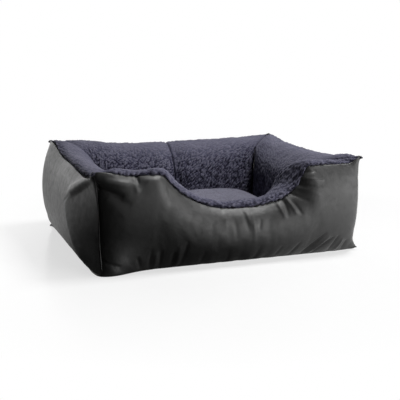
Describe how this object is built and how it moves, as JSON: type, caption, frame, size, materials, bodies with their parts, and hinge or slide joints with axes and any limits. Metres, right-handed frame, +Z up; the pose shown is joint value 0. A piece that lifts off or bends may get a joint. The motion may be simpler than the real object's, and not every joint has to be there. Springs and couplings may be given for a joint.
{
  "type": "pet cushion bed",
  "caption": "Rectangular pet bed with four stuffed walls, a dipped front to step over, a plush lining and a loose floor cushion.",
  "frame": {"origin": "on the floor, in the middle of the bed's outline", "axes": "+X to the right along the length, +Y to the back, +Z up; the dipped front faces -Y"},
  "size_m": [0.8304, 0.6711, 0.2664],
  "materials": {
    "coated_fabric": "tight plain-weave nylon with a smooth coating and a soft sheen, charcoal",
    "plush": "curly short-pile plush, dark slate blue-grey",
    "fleece": "short smooth fleece, slate blue-grey",
    "wadding": "loose white polyester fibre",
    "zip_tape": "black woven zip tape",
    "zip_coil": "black nylon coil",
    "zip_metal": "gunmetal paint, satin"
  },
  "bodies": {
    "bed": {"base_panel": "coated_fabric", "base_wadding": "wadding", "floor_lining": "plush", "front_outer_panel": "coated_fabric", "right_outer_panel": "coated_fabric", "back_outer_panel": "coated_fabric", "left_outer_panel": "coated_fabric", "back_hem_strip": "coated_fabric", "front_lining": "plush", "right_lining": "plush", "back_lining_left": "plush", "back_lining_right": "plush", "left_lining": "plush", "front_filling": "wadding", "right_filling": "wadding", "back_filling": "wadding", "left_filling": "wadding", "cover_zip_tape_upper": "zip_tape", "cover_zip_tape_lower": "zip_tape", "cover_zip_coils": "zip_coil", "cover_zip_stops": "zip_metal"},
    "cushion": {"cushion_top_panel": "fleece", "cushion_side_band": "coated_fabric", "cushion_base_panel": "coated_fabric", "cushion_filling": "wadding", "cushion_zip_tapes": "zip_tape", "cushion_zip_coils": "zip_coil", "cushion_zip_stops": "zip_metal"},
    "cushion_slider": {"cushion_zip_slider": "zip_metal"},
    "cover_slider": {"cover_zip_slider": "zip_metal"},
    "cover_puller": {"cover_zip_puller": "zip_metal"}
  },
  "joints": [
    {"name": "cushion_lift", "type": "slide", "parent": "bed", "child": "cushion", "axis": [0, 0, 1], "range_m": [0, 0.3]},
    {"name": "cushion_zip_slide", "type": "slide", "parent": "cushion", "child": "cushion_slider", "axis": [-1, 0, 0], "range_m": [0, 0.34]},
    {"name": "cover_zip_slide", "type": "slide", "parent": "bed", "child": "cover_slider", "axis": [-1, 0, 0], "range_m": [0, 0.54]},
    {"name": "cover_puller_swing", "type": "hinge", "parent": "cover_slider", "child": "cover_puller", "pos_m": [0.27, 0.3007, 0.025], "axis": [0, 0, 1], "range_deg": [-180, 0]}
  ]
}
